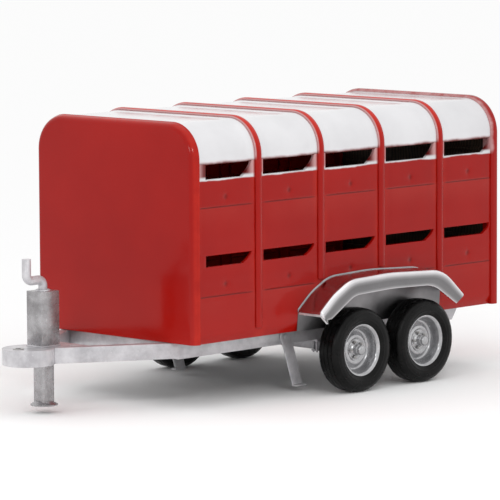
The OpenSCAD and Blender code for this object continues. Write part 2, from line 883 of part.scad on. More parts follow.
tyre(axle_ds[0], true);  // tyre_front_left
rim(axle_ds[0], true);  // rim_front_left
hub(axle_ds[0], true);  // hub_front_left
hub_cap(axle_ds[0], true);  // hub_cap_front_left
nuts(axle_ds[0], true);  // nuts_front_left
tyre(axle_ds[0], false);  // tyre_front_right
rim(axle_ds[0], false);  // rim_front_right
hub(axle_ds[0], false);  // hub_front_right
hub_cap(axle_ds[0], false);  // hub_cap_front_right
nuts(axle_ds[0], false);  // nuts_front_right
tyre(axle_ds[1], true);  // tyre_rear_left
rim(axle_ds[1], true);  // rim_rear_left
hub(axle_ds[1], true);  // hub_rear_left
hub_cap(axle_ds[1], true);  // hub_cap_rear_left
nuts(axle_ds[1], true);  // nuts_rear_left
tyre(axle_ds[1], false);  // tyre_rear_right
rim(axle_ds[1], false);  // rim_rear_right
hub(axle_ds[1], false);  // hub_rear_right
hub_cap(axle_ds[1], false);  // hub_cap_rear_right
nuts(axle_ds[1], false);  // nuts_rear_right
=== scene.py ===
import json
import math
from contextlib import contextmanager

import bpy
from mathutils import Matrix, Vector

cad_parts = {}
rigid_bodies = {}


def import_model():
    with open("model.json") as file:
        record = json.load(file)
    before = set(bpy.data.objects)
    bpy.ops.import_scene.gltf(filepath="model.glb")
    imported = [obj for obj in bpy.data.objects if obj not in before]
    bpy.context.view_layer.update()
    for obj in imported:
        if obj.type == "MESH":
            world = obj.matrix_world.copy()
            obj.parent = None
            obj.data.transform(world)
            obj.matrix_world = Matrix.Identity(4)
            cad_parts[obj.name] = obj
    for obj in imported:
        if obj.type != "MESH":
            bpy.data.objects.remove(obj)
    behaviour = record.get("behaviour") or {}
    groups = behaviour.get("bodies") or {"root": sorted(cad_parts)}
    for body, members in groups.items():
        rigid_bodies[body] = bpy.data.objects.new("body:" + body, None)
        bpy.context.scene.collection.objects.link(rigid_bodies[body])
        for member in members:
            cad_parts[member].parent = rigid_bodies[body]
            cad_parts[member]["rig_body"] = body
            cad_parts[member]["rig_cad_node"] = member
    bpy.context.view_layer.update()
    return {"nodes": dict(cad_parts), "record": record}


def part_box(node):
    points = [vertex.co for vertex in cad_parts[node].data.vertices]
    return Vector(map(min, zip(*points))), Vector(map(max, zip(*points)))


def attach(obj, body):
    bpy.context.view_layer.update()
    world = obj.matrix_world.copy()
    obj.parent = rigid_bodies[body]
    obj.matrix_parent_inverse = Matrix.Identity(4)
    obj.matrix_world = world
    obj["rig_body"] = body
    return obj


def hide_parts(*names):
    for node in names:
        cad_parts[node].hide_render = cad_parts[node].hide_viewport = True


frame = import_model()

# ---------------------------------------------------------------- sizes

middle_lo, middle_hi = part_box("side_middle_left")
shoulder_lo, shoulder_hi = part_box("roof_shoulder_left")
cap_lo, cap_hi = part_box("front_cap")
guard_lo, guard_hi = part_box("mudguard_left")

HALF_W = middle_hi[1]
BODY_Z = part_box("side_lower_left")[0][2]
ROOF_Z = shoulder_hi[2]
FRONT_X = cap_hi[0]
SHEET_FRONT_X = cap_lo[0]
SHEET_REAR_X = middle_lo[0]
RIM_DEPTH = 0.08
REAR_X = SHEET_REAR_X - RIM_DEPTH
BAYS = 5
BAY = (FRONT_X - REAR_X) / BAYS
SHOULDER_R = shoulder_hi[1] - shoulder_lo[1]
SHOULDER_Z = ROOF_Z - SHOULDER_R
INNER_Y = HALF_W - SHOULDER_R
STRIP_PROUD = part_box("cover_strips")[1][2] - ROOF_Z
POST_HALF = 0.065           # solid sheet on each side of a joint, between the slots
SLANT = 0.11                # how far a slot's rear end slants back as it rises
TUCK_IN = 0.03              # the foot of the side turns in by this much
SHEET_T = 0.0025
EAR_BEHIND = 0.0006         # plates in the slots lie this far behind the sheet's face
LIP_R = 0.010
LIP_IN = 0.030
VENT_LOW = (BODY_Z + 0.64, middle_lo[2])
VENT_HIGH = (BODY_Z + 1.365, shoulder_lo[2])
JOINTS = [FRONT_X - i * BAY for i in range(1, BAYS)]
# heights above the body's foot: crease, dimple, and the foot and top of the band that swells out
PRESSINGS = ((1.130, 1.210, 0.78, 1.33), (0.390, 0.484, 0.46, 0.60))


def middle(node):
    """Centre of a frame node's box."""
    lo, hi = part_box(node)
    return (Vector(lo) + Vector(hi)) / 2


def along(a, b, t):
    return a + (b - a) * t


def eased(low, high, value):
    """0 below low, 1 above high, and smooth between them."""
    t = min(max((value - low) / (high - low), 0.0), 1.0)
    return t * t * (3 - 2 * t)


# ---------------------------------------------------------------- modelling tools

@contextmanager
def editing(everything=True):
    """Edit mode on the active mesh, with all of it selected unless a selection was made in code."""
    bpy.ops.object.mode_set(mode="EDIT")
    if everything:
        bpy.ops.mesh.select_all(action="SELECT")
    yield
    bpy.ops.object.mode_set(mode="OBJECT")


@contextmanager
def editing_edges():
    """Edit mode on the edges that were selected in code."""
    with editing(everything=False):
        bpy.ops.mesh.select_mode(type="EDGE")
        yield
        bpy.ops.mesh.select_mode(type="VERT")


def nothing_selected():
    if bpy.context.object and bpy.context.object.mode != "OBJECT":
        bpy.ops.object.mode_set(mode="OBJECT")
    bpy.ops.object.select_all(action="DESELECT")


def only(obj):
    nothing_selected()
    obj.select_set(True)
    bpy.context.view_layer.objects.active = obj
    return obj


def called(obj, name):
    obj.name = name
    obj.data.name = name
    return obj


def named(name):
    """Names the object just added and moves its place into its mesh."""
    obj = called(bpy.context.object, name)
    bpy.ops.object.transform_apply(location=True, rotation=True, scale=True)
    return obj


def finished(obj, smooth=40):
    """Merges doubles, turns the faces outwards and smooths the shading."""
    only(obj)
    with editing():
        bpy.ops.mesh.remove_doubles(threshold=1e-5)
        bpy.ops.mesh.normals_make_consistent(inside=False)
    return shaded(obj, smooth)


def shaded(obj, smooth=40):
    only(obj)
    bpy.ops.object.shade_smooth_by_angle(angle=math.radians(smooth))
    return obj


def modified(obj, kind, **settings):
    """Adds a modifier and applies it."""
    only(obj)
    mod = obj.modifiers.new(kind.lower(), kind)
    for key, value in settings.items():
        setattr(mod, key, value)
    bpy.ops.object.modifier_apply(modifier=mod.name)
    return obj


def rounded(obj, width, segments=3, angle=35):
    if not width:
        return obj
    return modified(obj, "BEVEL", width=width, segments=segments, limit_method="ANGLE",
                    angle_limit=math.radians(angle))


def thick(obj, thickness=SHEET_T, offset=-1):
    return modified(obj, "SOLIDIFY", thickness=thickness, offset=offset)


def joined(name, parts):
    """Several meshes made one piece."""
    nothing_selected()
    for part in parts:
        part.select_set(True)
    bpy.context.view_layer.objects.active = parts[0]
    bpy.ops.object.join()
    return called(bpy.context.object, name)


def copied(obj, name, matrix):
    """Copy with its own mesh, which the matrix moves."""
    new = obj.copy()
    new.data = obj.data.copy()
    new.name = name
    new.parent = None
    bpy.context.collection.objects.link(new)
    new.data.transform(matrix)
    if matrix.determinant() < 0:
        new.data.flip_normals()
    return new


MIRROR = Matrix.Scale(-1, 4, (0, 1, 0))


def bar(name, lo, hi, edge=0.004):
    """Box between two corners with rounded edges."""
    lo, hi = Vector(lo), Vector(hi)
    nothing_selected()
    bpy.ops.mesh.primitive_cube_add(size=1, location=(lo + hi) / 2, scale=hi - lo)
    return rounded(named(name), edge)


def rod(name, start, end, radius, edge=0.002, sides=40):
    """Round bar between two points."""
    start, end = Vector(start), Vector(end)
    nothing_selected()
    bpy.ops.mesh.primitive_cylinder_add(vertices=sides, radius=radius, depth=(end - start).length,
                                        location=(start + end) / 2)
    bpy.context.object.rotation_mode = "QUATERNION"
    bpy.context.object.rotation_quaternion = (end - start).to_track_quat("Z", "Y")
    return rounded(named(name), edge, 2)


def section(name, points, closed=True):
    """Ring of edges through points, or a line of them if it isn't closed."""
    nothing_selected()
    bpy.ops.mesh.primitive_circle_add(vertices=len(points), radius=1, fill_type="NOTHING")
    obj = named(name)
    for vertex, point in zip(obj.data.vertices, points):
        vertex.co = point
    if not closed:
        last = len(points) - 1
        deselected(obj)
        for edge in obj.data.edges:
            edge.select = set(edge.vertices) == {0, last}
        with editing_edges():
            bpy.ops.mesh.delete(type="EDGE_FACE")
    return obj


def deselected(obj):
    """Makes an object active with nothing in its mesh selected."""
    only(obj)
    for group in (obj.data.vertices, obj.data.edges, obj.data.polygons):
        for item in group:
            item.select = False
    return obj


def lathe(name, points, centre, axis="Y", steps=72, closed=True):
    """Turns a section given as (radius, distance along the axis) about the axis through a centre."""
    centre = Vector(centre)
    if axis == "Y":
        places = [centre + Vector((0, out, radius)) for radius, out in points]
    else:
        places = [centre + Vector((radius, 0, out)) for radius, out in points]
    obj = section(name, places, closed)
    only(obj)
    with editing():
        bpy.ops.mesh.spin(steps=steps, angle=2 * math.pi, center=centre,
                          axis=(0, 1, 0) if axis == "Y" else (0, 0, 1))
    return finished(obj)


def filled(obj):
    """Closes every open loop of a mesh."""
    only(obj)
    with editing():
        bpy.ops.mesh.fill_holes(sides=0)
    return obj


def over_the_body(name, profile, foot, steps=16, closed=True):
    """Sweeps a profile of (x, distance out) up the left side, over the roof and down the right side."""
    obj = section(name, [(x, HALF_W + out, foot) for x, out in profile], closed)
    only(obj)

    def go(y, z):
        bpy.ops.mesh.extrude_region_move(TRANSFORM_OT_translate={"value": (0, y, z)})

    def turn(y):
        bpy.ops.mesh.spin(steps=steps, angle=math.pi / 2, center=(0, y, SHOULDER_Z), axis=(-1, 0, 0))

    with editing():
        go(0, SHOULDER_Z - foot)
        turn(INNER_Y)
        go(-2 * INNER_Y, 0)
        turn(-INNER_Y)
        go(0, foot - SHOULDER_Z)
    return obj


def pressed(name, columns, rows, place):
    """Sheet pressed from a flat grid: place(i, j) is where corner i along and j across goes."""
    nothing_selected()
    bpy.ops.mesh.primitive_grid_add(x_subdivisions=columns, y_subdivisions=rows, size=1)
    obj = named(name)
    for vertex in obj.data.vertices:
        i = round((vertex.co.x + 0.5) * columns)
        j = round((vertex.co.y + 0.5) * rows)
        vertex.co = place(i, j)
    return obj


def cut(obj, cutter):
    """Cuts one mesh out of another."""
    modified(obj, "BOOLEAN", object=cutter, operation="DIFFERENCE", solver="EXACT")
    bpy.data.objects.remove(cutter)
    return obj


def cleaned(obj):
    """Takes out faces and edges that a bevel or cut left with no size."""
    only(obj)
    with editing():
        bpy.ops.mesh.dissolve_degenerate(threshold=1e-5)
        bpy.ops.mesh.remove_doubles(threshold=5e-6)
    return obj


def softened(name, node, width, smooth=35):
    """Copy of a frame node, its loose triangles merged and its edges rounded."""
    source = frame["nodes"][node]
    obj = source.copy()
    obj.data = source.data.copy()
    obj.parent = None
    obj.matrix_world = Matrix()
    called(obj, name)
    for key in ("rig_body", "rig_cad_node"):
        if key in obj:
            del obj[key]
    bpy.context.collection.objects.link(obj)
    only(obj)
    with editing():
        bpy.ops.mesh.remove_doubles(threshold=2e-5)
        bpy.ops.mesh.dissolve_limited(angle_limit=math.radians(1))
    return shaded(cleaned(rounded(obj, width, 2)), smooth)


def put(obj, body, finish, *nodes):
    """Gives a piece its finish and the body it moves with, and hides the frame nodes it stands for."""
    obj.data.materials.clear()
    obj.data.materials.append(finish)
    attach(obj, body)
    if nodes:
        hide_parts(*nodes)
    return obj


def put_both(left, finish, *nodes):
    """Puts a left-hand piece and its mirrored copy on the trailer."""
    right = copied(left, left.name.replace("left", "right"), MIRROR)
    put(left, "trailer", finish, *nodes)
    put(right, "trailer", finish, *[node.replace("left", "right") for node in nodes])


# ---------------------------------------------------------------- materials


def finish_for(name, colour, roughness, metallic=0.0, specular=0.5):
    """New material, with its tree and shader."""
    mat = bpy.data.materials.new(name)
    mat.use_nodes = True
    shader = mat.node_tree.nodes["Principled BSDF"]
    for key, value in (("Base Color", (*colour, 1)), ("Roughness", roughness), ("Metallic", metallic),
                       ("Specular IOR Level", specular)):
        shader.inputs[key].default_value = value
    return mat, mat.node_tree, shader


def add(tree, kind, **settings):
    node = tree.nodes.new(kind)
    for key, value in settings.items():
        if key[0].isupper():
            node.inputs[key].default_value = value
        else:
            setattr(node, key, value)
    return node


def place_of(tree, scale=(1, 1, 1)):
    coordinates = add(tree, "ShaderNodeTexCoord").outputs["Object"]
    if scale == (1, 1, 1):
        return coordinates
    mapping = add(tree, "ShaderNodeMapping", Scale=scale)
    tree.links.new(coordinates, mapping.inputs["Vector"])
    return mapping.outputs["Vector"]


def axes(tree):
    split = add(tree, "ShaderNodeSeparateXYZ")
    tree.links.new(place_of(tree), split.inputs[0])
    return split.outputs


def noise(tree, scale, detail=4.0, roughness=0.55, stretch=(1, 1, 1)):
    node = add(tree, "ShaderNodeTexNoise", Scale=scale, Detail=detail, Roughness=roughness)
    tree.links.new(place_of(tree, stretch), node.inputs["Vector"])
    return node.outputs["Fac"]


def spread(tree, value, low, high, to_low=0.0, to_high=1.0, smooth=False):
    node = add(tree, "ShaderNodeMapRange", interpolation_type="SMOOTHSTEP" if smooth else "LINEAR")
    for key, number in zip(("From Min", "From Max", "To Min", "To Max"), (low, high, to_low, to_high)):
        node.inputs[key].default_value = number
    tree.links.new(value, node.inputs["Value"])
    return node.outputs["Result"]


def blended(tree, factor, one, two, kind="MIX"):
    """Colour between two colours or colour sockets; the factor is a number or a socket."""
    node = add(tree, "ShaderNodeMix", data_type="RGBA", blend_type=kind)
    if isinstance(factor, float):
        node.inputs["Factor"].default_value = factor
    else:
        tree.links.new(factor, node.inputs["Factor"])
    for socket, colour in zip([s for s in node.inputs if s.type == "RGBA"], (one, two)):
        if isinstance(colour, tuple):
            socket.default_value = (*colour, 1)
        else:
            tree.links.new(colour, socket)
    return [s for s in node.outputs if s.type == "RGBA"][0]


def maths(tree, operation, one, two=None):
    node = add(tree, "ShaderNodeMath", operation=operation)
    for socket, value in zip(node.inputs, (one, two)):
        if isinstance(value, (int, float)):
            socket.default_value = value
        elif value is not None:
            tree.links.new(value, socket)
    return node.outputs[0]


def patches(tree, scale, detail, low=0.0, high=1.0):
    """Soft noise stretched so that most of it lies between two values."""
    return spread(tree, noise(tree, scale, detail), 0.3, 0.7, low, high)


def times(tree, one, two):
    return maths(tree, "MULTIPLY", one, two)


def from_rib(tree, split, wobble=None):
    """Distance along the body from the nearest rib."""
    behind = maths(tree, "SUBTRACT", FRONT_X, split["X"])
    if wobble is not None:
        behind = maths(tree, "ADD", behind, wobble)
    return maths(tree, "PINGPONG", behind, BAY / 2)


def coloured(tree, shader, tone):
    tree.links.new(tone, shader.inputs["Base Color"])


def roughened(tree, shader, low, high, scale):
    tree.links.new(patches(tree, scale, 5, low, high), shader.inputs["Roughness"])


def bumped(tree, shader, height, distance, strength=1.0):
    node = add(tree, "ShaderNodeBump", Distance=distance, Strength=strength)
    tree.links.new(height, node.inputs["Height"])
    tree.links.new(node.outputs["Normal"], shader.inputs["Normal"])


RED_LOW = (0.285, 0.003, 0.0015)
RED = (0.335, 0.005, 0.0025)
# lighter red for the painted light at the foot of the body
RED_FOOT_PAINTED_LIGHT = (0.375, 0.009, 0.005)
# painted highlight red, for bright patches, rims and rib crowns
PAINTED_HIGHLIGHT_RED = (0.50, 0.020, 0.009)
# painted sheen red, below the creases
PAINTED_SHEEN_RED = (0.36, 0.022, 0.016)
# painted shade red, for the creases and dimples
PAINTED_SHADE_RED = (0.11, 0.004, 0.003)
# painted shade red, on the rear ears of the upper slots
EAR_PAINTED_SHADE_RED = (0.13, 0.012, 0.011)
# painted shade red, where the roof sheet turns in at the slots
LIP_PAINTED_SHADE_RED = (0.12, 0.020, 0.018)
PINK = (0.52, 0.29, 0.29)
WHITE_LOW = (0.64, 0.635, 0.65)
WHITE_HIGH = (0.71, 0.705, 0.72)
FOOT_PAINTED_LIGHT = 0.55            # painted light: the lower body is painted a lighter red up to this height
# how far below each crease the painted sheen reaches
SHEEN_BELOW_CREASE = 0.24


def red_tone(tree):
    """Red that varies a little over the sheet, painted lighter towards the foot of the body as painted
    light.
    """
    cloud = blended(tree, patches(tree, 1.1, 3), RED_LOW, RED)
    # painted light: lighter towards the foot of the body
    low = spread(tree, axes(tree)["Z"], BODY_Z, BODY_Z + FOOT_PAINTED_LIGHT, 0.6, 0.0)
    return blended(tree, low, cloud, RED_FOOT_PAINTED_LIGHT)


def side_red(tree):
    """Side sheets: painted highlights in patches beside the ribs, a painted sheen below each crease, and
    painted shade in the creases and dimples of the pressing.
    """
    split = axes(tree)
    from_joint = from_rib(tree, split)
    # painted highlight in patches beside the ribs
    rib_highlight = spread(tree, from_joint, 0.03, 0.12, 0.45, 0.0, smooth=True)
    patch = spread(tree, noise(tree, 3.5, 3), 0.35, 0.65)
    tone = blended(tree, times(tree, rib_highlight, patch), red_tone(tree), PAINTED_HIGHLIGHT_RED)
    # painted sheen in patches: lighter red below each crease
    pale = patches(tree, 1.7, 3, 0.1, 0.7)
    aside = maths(tree, "SUBTRACT", BAY / 2, from_joint)
    for crease, dimple, _, _ in PRESSINGS:
        at = BODY_Z + crease
        rise = spread(tree, split["Z"], at - SHEEN_BELOW_CREASE, at, smooth=True)
        under = times(tree, rise, spread(tree, split["Z"], at, at + 0.02, 1.0, 0.0))
        tone = blended(tree, times(tree, under, pale), tone, PAINTED_SHEEN_RED)
        # painted shade along each crease and in each dimple
        away = maths(tree, "ABSOLUTE", maths(tree, "SUBTRACT", split["Z"], at))
        line = times(tree, spread(tree, away, 0.002, 0.008, 0.75, 0.0),
                     spread(tree, from_joint, 0.05, 0.1))
        up = maths(tree, "SUBTRACT", split["Z"], BODY_Z + dimple)
        far = maths(tree, "SQRT", maths(tree, "ADD", times(tree, aside, aside), times(tree, up, up)))
        dimple_shade = spread(tree, far, 0.004, 0.034, 0.55, 0.0, smooth=True)
        tone = blended(tree, maths(tree, "MAXIMUM", line, dimple_shade), tone, PAINTED_SHADE_RED)
    return tone


def red_finish(name, tone=red_tone):
    mat, tree, shader = finish_for(name, RED, 0.2, specular=0.2)
    coloured(tree, shader, tone(tree))
    roughened(tree, shader, 0.09, 0.20, 5)
    bumped(tree, shader, noise(tree, 26, 2), 0.0006, 0.25)
    return mat


def rim_red(tree):
    """Front pressing: the turned rim is painted brighter over its curve, a painted highlight."""
    rim = spread(tree, axes(tree)["X"], FRONT_X - 0.030, FRONT_X - 0.006, 1.0, 0.0, smooth=True)
    ragged = patches(tree, 7, 3, 0.2, 0.6)
    # painted highlight along the turned rim
    return blended(tree, times(tree, rim, ragged), red_tone(tree), PAINTED_HIGHLIGHT_RED)


def sprayed_red(tree):
    """Red with white overspray round the upper slots, densest on their lower lips and rear ears; the lips'
    white is partly a painted highlight, and the ears darken to painted shade away from the ribs.
    """
    split = axes(tree)
    ragged = patches(tree, 5, 3, -0.006, 0.006)
    height = maths(tree, "ADD", split["Z"], ragged)
    # white overspray on the lower lip, partly a painted highlight
    lip = spread(tree, height, VENT_HIGH[0] - 0.018, VENT_HIGH[0] - 0.004, smooth=True)
    near_rib = from_rib(tree, split)
    foot = spread(tree, split["Z"], VENT_HIGH[0] + 0.004, VENT_HIGH[0] + 0.030, 1.0, 0.0, smooth=True)
    # pink overspray near the rib, painted shade farther from it
    pink_and_shade = blended(tree, spread(tree, near_rib, 0.055, 0.135, smooth=True), PINK, EAR_PAINTED_SHADE_RED)
    ears = blended(tree, foot, pink_and_shade, WHITE_LOW)
    red_again = spread(tree, near_rib, 0.030, 0.065, smooth=True)
    return blended(tree, times(tree, lip, red_again), side_red(tree), ears)


def roof_tone(tree):
    """White that thins to pink beside the ribs and at both ends, and through pink to a dark red painted
    shade at the slot edges.
    """
    split = axes(tree)
    ragged = patches(tree, 6, 3, -0.006, 0.006)
    height = maths(tree, "ADD", split["Z"], ragged)
    above = spread(tree, height, VENT_HIGH[1] + 0.002, VENT_HIGH[1] + 0.034, smooth=True)
    from_joint = from_rib(tree, split, ragged)
    clear = spread(tree, from_joint, 0.032, 0.052, smooth=True)
    cover = times(tree, above, clear)
    white = blended(tree, spread(tree, noise(tree, 1.6, 4), 0.35, 0.65), WHITE_LOW, WHITE_HIGH)
    # painted shade at the slot edge, pink overspray above it
    pink_and_shade = blended(tree, above, LIP_PAINTED_SHADE_RED, PINK)
    return blended(tree, cover, pink_and_shade, white)


def rib_tone(tree):
    """Red crown, with a painted highlight towards the roof, and flanks that take the white of the roof
    above the slots.
    """
    split = axes(tree)
    from_joint = from_rib(tree, split)
    flank = spread(tree, from_joint, 0.025, 0.034, smooth=True)
    above = spread(tree, split["Z"], VENT_HIGH[1], VENT_HIGH[1] + 0.05, smooth=True)
    # painted highlight: the crown lightens towards the roof
    bright = blended(tree, spread(tree, split["Z"], VENT_HIGH[1], ROOF_Z, smooth=True), RED, PAINTED_HIGHLIGHT_RED)
    red = blended(tree, spread(tree, split["Z"], VENT_HIGH[0] - 0.1, VENT_HIGH[1]), red_tone(tree), bright)
    return blended(tree, times(tree, flank, above), red, PINK)


def rear_tone(tree):
    """Rear rim: white feathering to red towards the back, above the upper slots."""
    split = axes(tree)
    ragged = patches(tree, 12, 4, -0.012, 0.012)
    forward = maths(tree, "ADD", split["X"], ragged)
    front_half = spread(tree, forward, REAR_X + 0.050, REAR_X + 0.090, smooth=True)
    above = spread(tree, split["Z"], VENT_HIGH[0] - 0.03, VENT_HIGH[0] + 0.03, smooth=True)
    return blended(tree, times(tree, front_half, above), red_tone(tree), PINK)


SPECK_TONE = (0.85, 0.85, 0.86)


def silver_finish(name, low, high, metallic, rough, grain, bump=0.0016):
    """Silver paint or metal between two tones, clouded, with bright specks and a fine grain."""
    mat, tree, shader = finish_for(name, high, rough[1], metallic=metallic)
    cloud = spread(tree, noise(tree, 5, 6, 0.65), 0.35, 0.65)
    speck = spread(tree, noise(tree, grain, 3, 0.7), 0.64, 0.80)
    coloured(tree, shader, blended(tree, speck, blended(tree, cloud, low, high), SPECK_TONE))
    roughened(tree, shader, *rough, 22)
    bumped(tree, shader, noise(tree, grain * 0.6, 4, 0.65), bump, 0.5)
    return mat


# painted reflections: light and dark bands across the mudguard: 0 is its body edge, 1 the foot of its skirt
GUARD_PAINTED_REFLECTIONS = ((0.0, .60), (0.03, .75), (0.06, .50), (0.27, .56), (0.34, .80), (0.48, .86), (0.60, .50),
               (0.70, .20), (0.78, .22), (0.84, .42), (0.90, .80), (1.0, .80))


def polished_finish(name, low, high, rough, painted_reflections=False):
    """Polished metal; one with painted reflections is painted lighter and darker in bands across the
    pressing, from its body edge to its skirt.
    """
    mat, tree, shader = finish_for(name, high, rough[1], metallic=1.0)
    tone = blended(tree, patches(tree, 3, 5), low, high)
    if painted_reflections:
        split = add(tree, "ShaderNodeSeparateXYZ")
        tree.links.new(add(tree, "ShaderNodeUVMap", uv_map="UVMap").outputs["UV"], split.inputs[0])
        # painted reflections: brightness bands across the guard
        ramp = add(tree, "ShaderNodeValToRGB")
        stops = ramp.color_ramp.elements
        for at, value in GUARD_PAINTED_REFLECTIONS:
            stop = stops[0] if at == 0 else stops[-1] if at == 1 else stops.new(at)
            stop.color = (value, value * 0.985, value * 0.995, 1)
        tree.links.new(split.outputs["Y"], ramp.inputs["Fac"])
        tone = blended(tree, 1.0, tone, ramp.outputs["Color"], "MULTIPLY")
    coloured(tree, shader, tone)
    roughened(tree, shader, *rough, 9)
    bumped(tree, shader, noise(tree, 18, 3, stretch=(0.4, 1, 1)), 0.0010, 0.3)
    return mat


def bare_steel():
    mat, tree, shader = finish_for("worn_steel", (0.5, 0.49, 0.48), 0.35, metallic=1.0)
    coloured(tree, shader, blended(tree, patches(tree, 14, 6),
                                   (0.34, 0.33, 0.32), (0.55, 0.54, 0.53)))
    roughened(tree, shader, 0.25, 0.45, 40)
    bumped(tree, shader, noise(tree, 160, 3), 0.0008, 0.3)
    return mat


def tyre_rubber():
    mat, tree, shader = finish_for("tyre_rubber", (0.005, 0.005, 0.005), 0.3, specular=0.13)
    coloured(tree, shader, blended(tree, patches(tree, 6, 5),
                                   (0.002, 0.002, 0.002), (0.008, 0.0078, 0.0078)))
    roughened(tree, shader, 0.22, 0.42, 18)
    bumped(tree, shader, noise(tree, 150, 3), 0.0016, 0.35)
    return mat


def floor_board():
    mat, tree, shader = finish_for("floor_board", (0.2, 0.13, 0.08), 0.6, specular=0.3)
    grain = add(tree, "ShaderNodeTexWave", Scale=9.0, Distortion=7.0, Detail=4.0, bands_direction="Y")
    tree.links.new(place_of(tree, (0.15, 1, 1)), grain.inputs["Vector"])
    coloured(tree, shader, blended(tree, grain.outputs["Fac"],
                                   (0.020, 0.012, 0.008), (0.055, 0.036, 0.022)))
    roughened(tree, shader, 0.5, 0.72, 12)
    bumped(tree, shader, grain.outputs["Fac"], 0.001, 0.3)
    return mat


RED_ENAMEL = red_finish("red_enamel")
RED_FRONT = red_finish("red_front_rim", rim_red)
RED_SIDE = red_finish("red_side_sheet", side_red)
RED_SPRAYED = red_finish("red_sprayed", sprayed_red)
RED_RIB = red_finish("red_rib", rib_tone)
RED_REAR = red_finish("red_rear_rim", rear_tone)
ROOF_WHITE = red_finish("roof_white", roof_tone)
SILVER = silver_finish("cast_silver", (0.42, 0.41, 0.43), (0.64, 0.63, 0.65), 0.35,
                       (0.28, 0.42), 70)
POLISHED = polished_finish("polished_guard", (0.86, 0.85, 0.86), (1.0, 0.99, 1.0), (0.14, 0.26),
                           painted_reflections=True)
# painted shade: the arch plates under the mudguards are painted dark grey
ARCH_PLATE_PAINTED_SHADE = polished_finish("dull_arch_plate", (0.15, 0.145, 0.15), (0.27, 0.26, 0.265), (0.28, 0.42))
GUARD_EDGE = silver_finish("guard_edge", (0.46, 0.45, 0.46), (0.66, 0.65, 0.66), 0.3,
                           (0.18, 0.3), 60, 0.0005)
RIM = silver_finish("wheel_silver", (0.36, 0.36, 0.37), (0.52, 0.52, 0.53), 0.8,
                    (0.16, 0.28), 40, 0.0006)
# a darker copy of the cast silver, for the jack's post and leg
DARKER_SILVER = silver_finish("darker_silver", (0.24, 0.23, 0.235), (0.47, 0.46, 0.47), 0.7,
                            (0.20, 0.34), 60, 0.0024)
STEEL = bare_steel()
RUBBER = tyre_rubber()
BOARD = floor_board()

FRAME_FINISH = {
    "red_paint": RED_ENAMEL, "white_paint": ROOF_WHITE, "silver_paint": SILVER, "guard_metal": ARCH_PLATE_PAINTED_SHADE,
    "rim_silver": RIM, "bare_steel": STEEL, "tyre": RUBBER, "timber": BOARD,
}
for entry in frame["record"]["subparts"]:
    for slot in frame["nodes"][entry["node"]].material_slots:
        slot.material = FRAME_FINISH[entry["material_slot"]]


# ---------------------------------------------------------------- body sheets

CREASE_DEPTH, CREASE_WIDTH = 0.0075, 0.0075
DIMPLE_DEPTH, DIMPLE_R = 0.008, 0.028
SWELL = 0.0035
# where the sheets' columns stand in a bay, closest at its dimple and its ribs
BAY_STEPS = (0, .035, .06, .10, .16, .22, .28, .33, .352, .362, .370, .376, .381, .386, .392, .400, .410,
             .432, .48, .54, .60, .66, .70, .727)
ROOF_BAY_STEPS = (0, .03, .05, .07, .085, .10, .115, .13, .15, .19, .25, .32, .38, .44, .51, .57,
                  .61, .632, .647, .662, .677, .692, .712, .732)


def columns_of(bay_steps):
    """Distances behind the front face of a sheet's columns, from the sheet's front edge to its rear."""
    first, last = FRONT_X - SHEET_FRONT_X, FRONT_X - SHEET_REAR_X
    return sorted({round(min(max(bay * BAY + step, first), last), 4)
                   for bay in range(BAYS) for step in bay_steps} | {round(last, 4)})


SHEET_STEPS = columns_of(BAY_STEPS)


def lip(height, way, radius=LIP_R, reach=LIP_IN):
    """Rolled edge of a slot as (distance in, height), from the sheet's face inwards."""
    turn = [(radius * (1 - math.cos(a)), height + way * radius * (math.sin(a) - 1))
            for a in (0, .3, .6, .9, 1.2, math.pi / 2)]
    return turn + [(reach, height), (reach + 0.004, height - way * 0.005)]


def pressed_out(behind, height):
    """How far a side sheet stands out of its plane between two ribs."""
    in_bay = behind % BAY
    span = eased(0.045, 0.13, in_bay) * (1 - eased(BAY - 0.17, BAY - 0.06, in_bay))
    out = 0.0
    for crease, dimple, low, high in PRESSINGS:
        out -= CREASE_DEPTH * span * math.exp(-((height - crease) / CREASE_WIDTH) ** 2)
        out -= DIMPLE_DEPTH * math.exp(-(math.hypot(in_bay - BAY / 2, height - dimple) / DIMPLE_R) ** 2)
        out += SWELL * span * eased(low, low + 0.1, height) * (1 - eased(high - 0.08, high, height))
    return out


def side_sheet(name, rows):
    def place(i, j):
        behind, (inward, height) = SHEET_STEPS[i], rows[j]
        out = 0.0 if inward else pressed_out(behind, height)
        return FRONT_X - behind, HALF_W - inward + out, BODY_Z + height

    return finished(thick(finished(pressed(name, len(SHEET_STEPS) - 1, len(rows) - 1, place))))


def ear(name, low, high, joint, last=False):
    """Closed rear end of a slot: a plate whose front edge slants back as it rises, rolled inwards."""
    rear = SHEET_REAR_X if last else joint - POST_HALF + 0.004
    roll = [(0.0, 0.0), (0.003, 0.0004), (0.006, 0.002), (0.009, 0.006), (0.010, 0.012), (0.010, 0.03)]
    across, rows, lap = 8, 14, 0.010

    def place(i, j):
        z = low - lap + j / rows * (high - low + 2 * lap)
        h = min(max((z - low) / (high - low), 0.0), 1.0)
        edge = max(joint + POST_HALF + SLANT * (1 - h) ** 1.6, rear + 0.004)
        if i <= across:
            return along(rear, edge, i / across), HALF_W - EAR_BEHIND, z
        ahead, inward = roll[i - across]
        return edge + ahead, HALF_W - EAR_BEHIND - inward, z

    sheet = pressed(name, across + len(roll) - 1, rows, place)
    return finished(thick(finished(sheet), 0.002))


